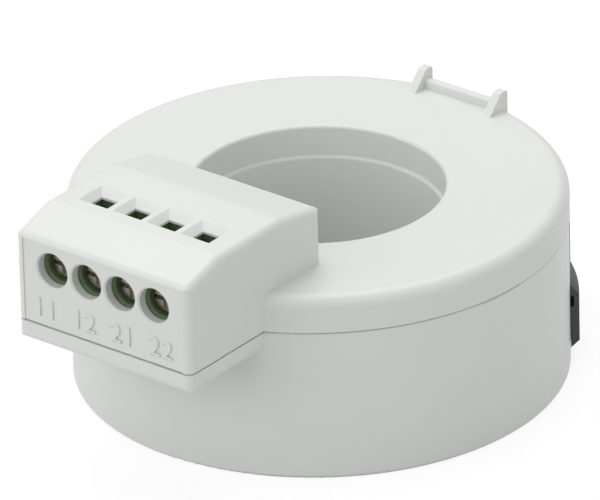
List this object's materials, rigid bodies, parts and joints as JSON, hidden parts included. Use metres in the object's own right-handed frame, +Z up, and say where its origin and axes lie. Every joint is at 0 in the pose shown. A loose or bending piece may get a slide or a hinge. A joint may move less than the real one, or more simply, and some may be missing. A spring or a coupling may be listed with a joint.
{
  "type": "current transformer",
  "caption": "Ring current transformer with a round bore, a terminal housing with clamp screws and wire entries, and a foot for screwing it to a panel.",
  "frame": {"origin": "on the bore's axis, at the flat underside", "axes": "+Z up along the bore, -Y towards the terminals, +Y towards the panel foot, +X to the right as seen facing the terminals"},
  "size_m": [0.0602, 0.0743, 0.0326],
  "materials": {
    "housing": "fine satin moulding",
    "foot": "satin black moulding",
    "core_case": "natural polyamide",
    "core": "wound magnetic tape",
    "enamelled_wire": "enamelled copper",
    "test_wire": "sleeved wire",
    "foam": "closed-cell foam",
    "circuit_board": "solder mask",
    "terminal_plastic": "satin moulding",
    "screw": "passivated steel",
    "cage": "plated steel",
    "contact": "tinned copper alloy"
  },
  "bodies": {
    "housing": {"base_housing": "housing", "cover_housing": "housing", "mounting_foot": "foot", "core_case_lower": "core_case", "core_case_upper": "core_case", "toroid_core": "core", "measuring_winding": "enamelled_wire", "test_winding": "test_wire", "measuring_leads": "enamelled_wire", "test_leads": "test_wire", "lower_core_cushion": "foam", "upper_core_cushion": "foam", "circuit_board": "circuit_board", "terminal_body": "terminal_plastic", "contact_bar_1": "contact", "contact_bar_2": "contact", "contact_bar_3": "contact", "contact_bar_4": "contact"},
    "screw_1": {"clamp_screw_1": "screw"},
    "cage_1": {"wire_cage_1": "cage"},
    "screw_2": {"clamp_screw_2": "screw"},
    "cage_2": {"wire_cage_2": "cage"},
    "screw_3": {"clamp_screw_3": "screw"},
    "cage_3": {"wire_cage_3": "cage"},
    "screw_4": {"clamp_screw_4": "screw"},
    "cage_4": {"wire_cage_4": "cage"}
  },
  "joints": [
    {"name": "screw_1_turn", "type": "hinge", "parent": "housing", "child": "screw_1", "pos_m": [-0.00762, -0.0372, 0.027], "axis": [0, 1, 0], "range_deg": [0, 1920]},
    {"name": "cage_1_lift", "type": "slide", "parent": "housing", "child": "cage_1", "axis": [0, -1, 0], "range_m": [0, 0.0024]},
    {"name": "screw_2_turn", "type": "hinge", "parent": "housing", "child": "screw_2", "pos_m": [-0.00254, -0.0372, 0.027], "axis": [0, 1, 0], "range_deg": [0, 1920]},
    {"name": "cage_2_lift", "type": "slide", "parent": "housing", "child": "cage_2", "axis": [0, -1, 0], "range_m": [0, 0.0024]},
    {"name": "screw_3_turn", "type": "hinge", "parent": "housing", "child": "screw_3", "pos_m": [0.00254, -0.0372, 0.027], "axis": [0, 1, 0], "range_deg": [0, 1920]},
    {"name": "cage_3_lift", "type": "slide", "parent": "housing", "child": "cage_3", "axis": [0, -1, 0], "range_m": [0, 0.0024]},
    {"name": "screw_4_turn", "type": "hinge", "parent": "housing", "child": "screw_4", "pos_m": [0.00762, -0.0372, 0.027], "axis": [0, 1, 0], "range_deg": [0, 1920]},
    {"name": "cage_4_lift", "type": "slide", "parent": "housing", "child": "cage_4", "axis": [0, -1, 0], "range_m": [0, 0.0024]}
  ],
  "couplings": [
    {"joint": "screw_1_turn", "follows": "cage_1_lift", "rad_per_m": 13963},
    {"joint": "screw_2_turn", "follows": "cage_2_lift", "rad_per_m": 13963},
    {"joint": "screw_3_turn", "follows": "cage_3_lift", "rad_per_m": 13963},
    {"joint": "screw_4_turn", "follows": "cage_4_lift", "rad_per_m": 13963}
  ]
}
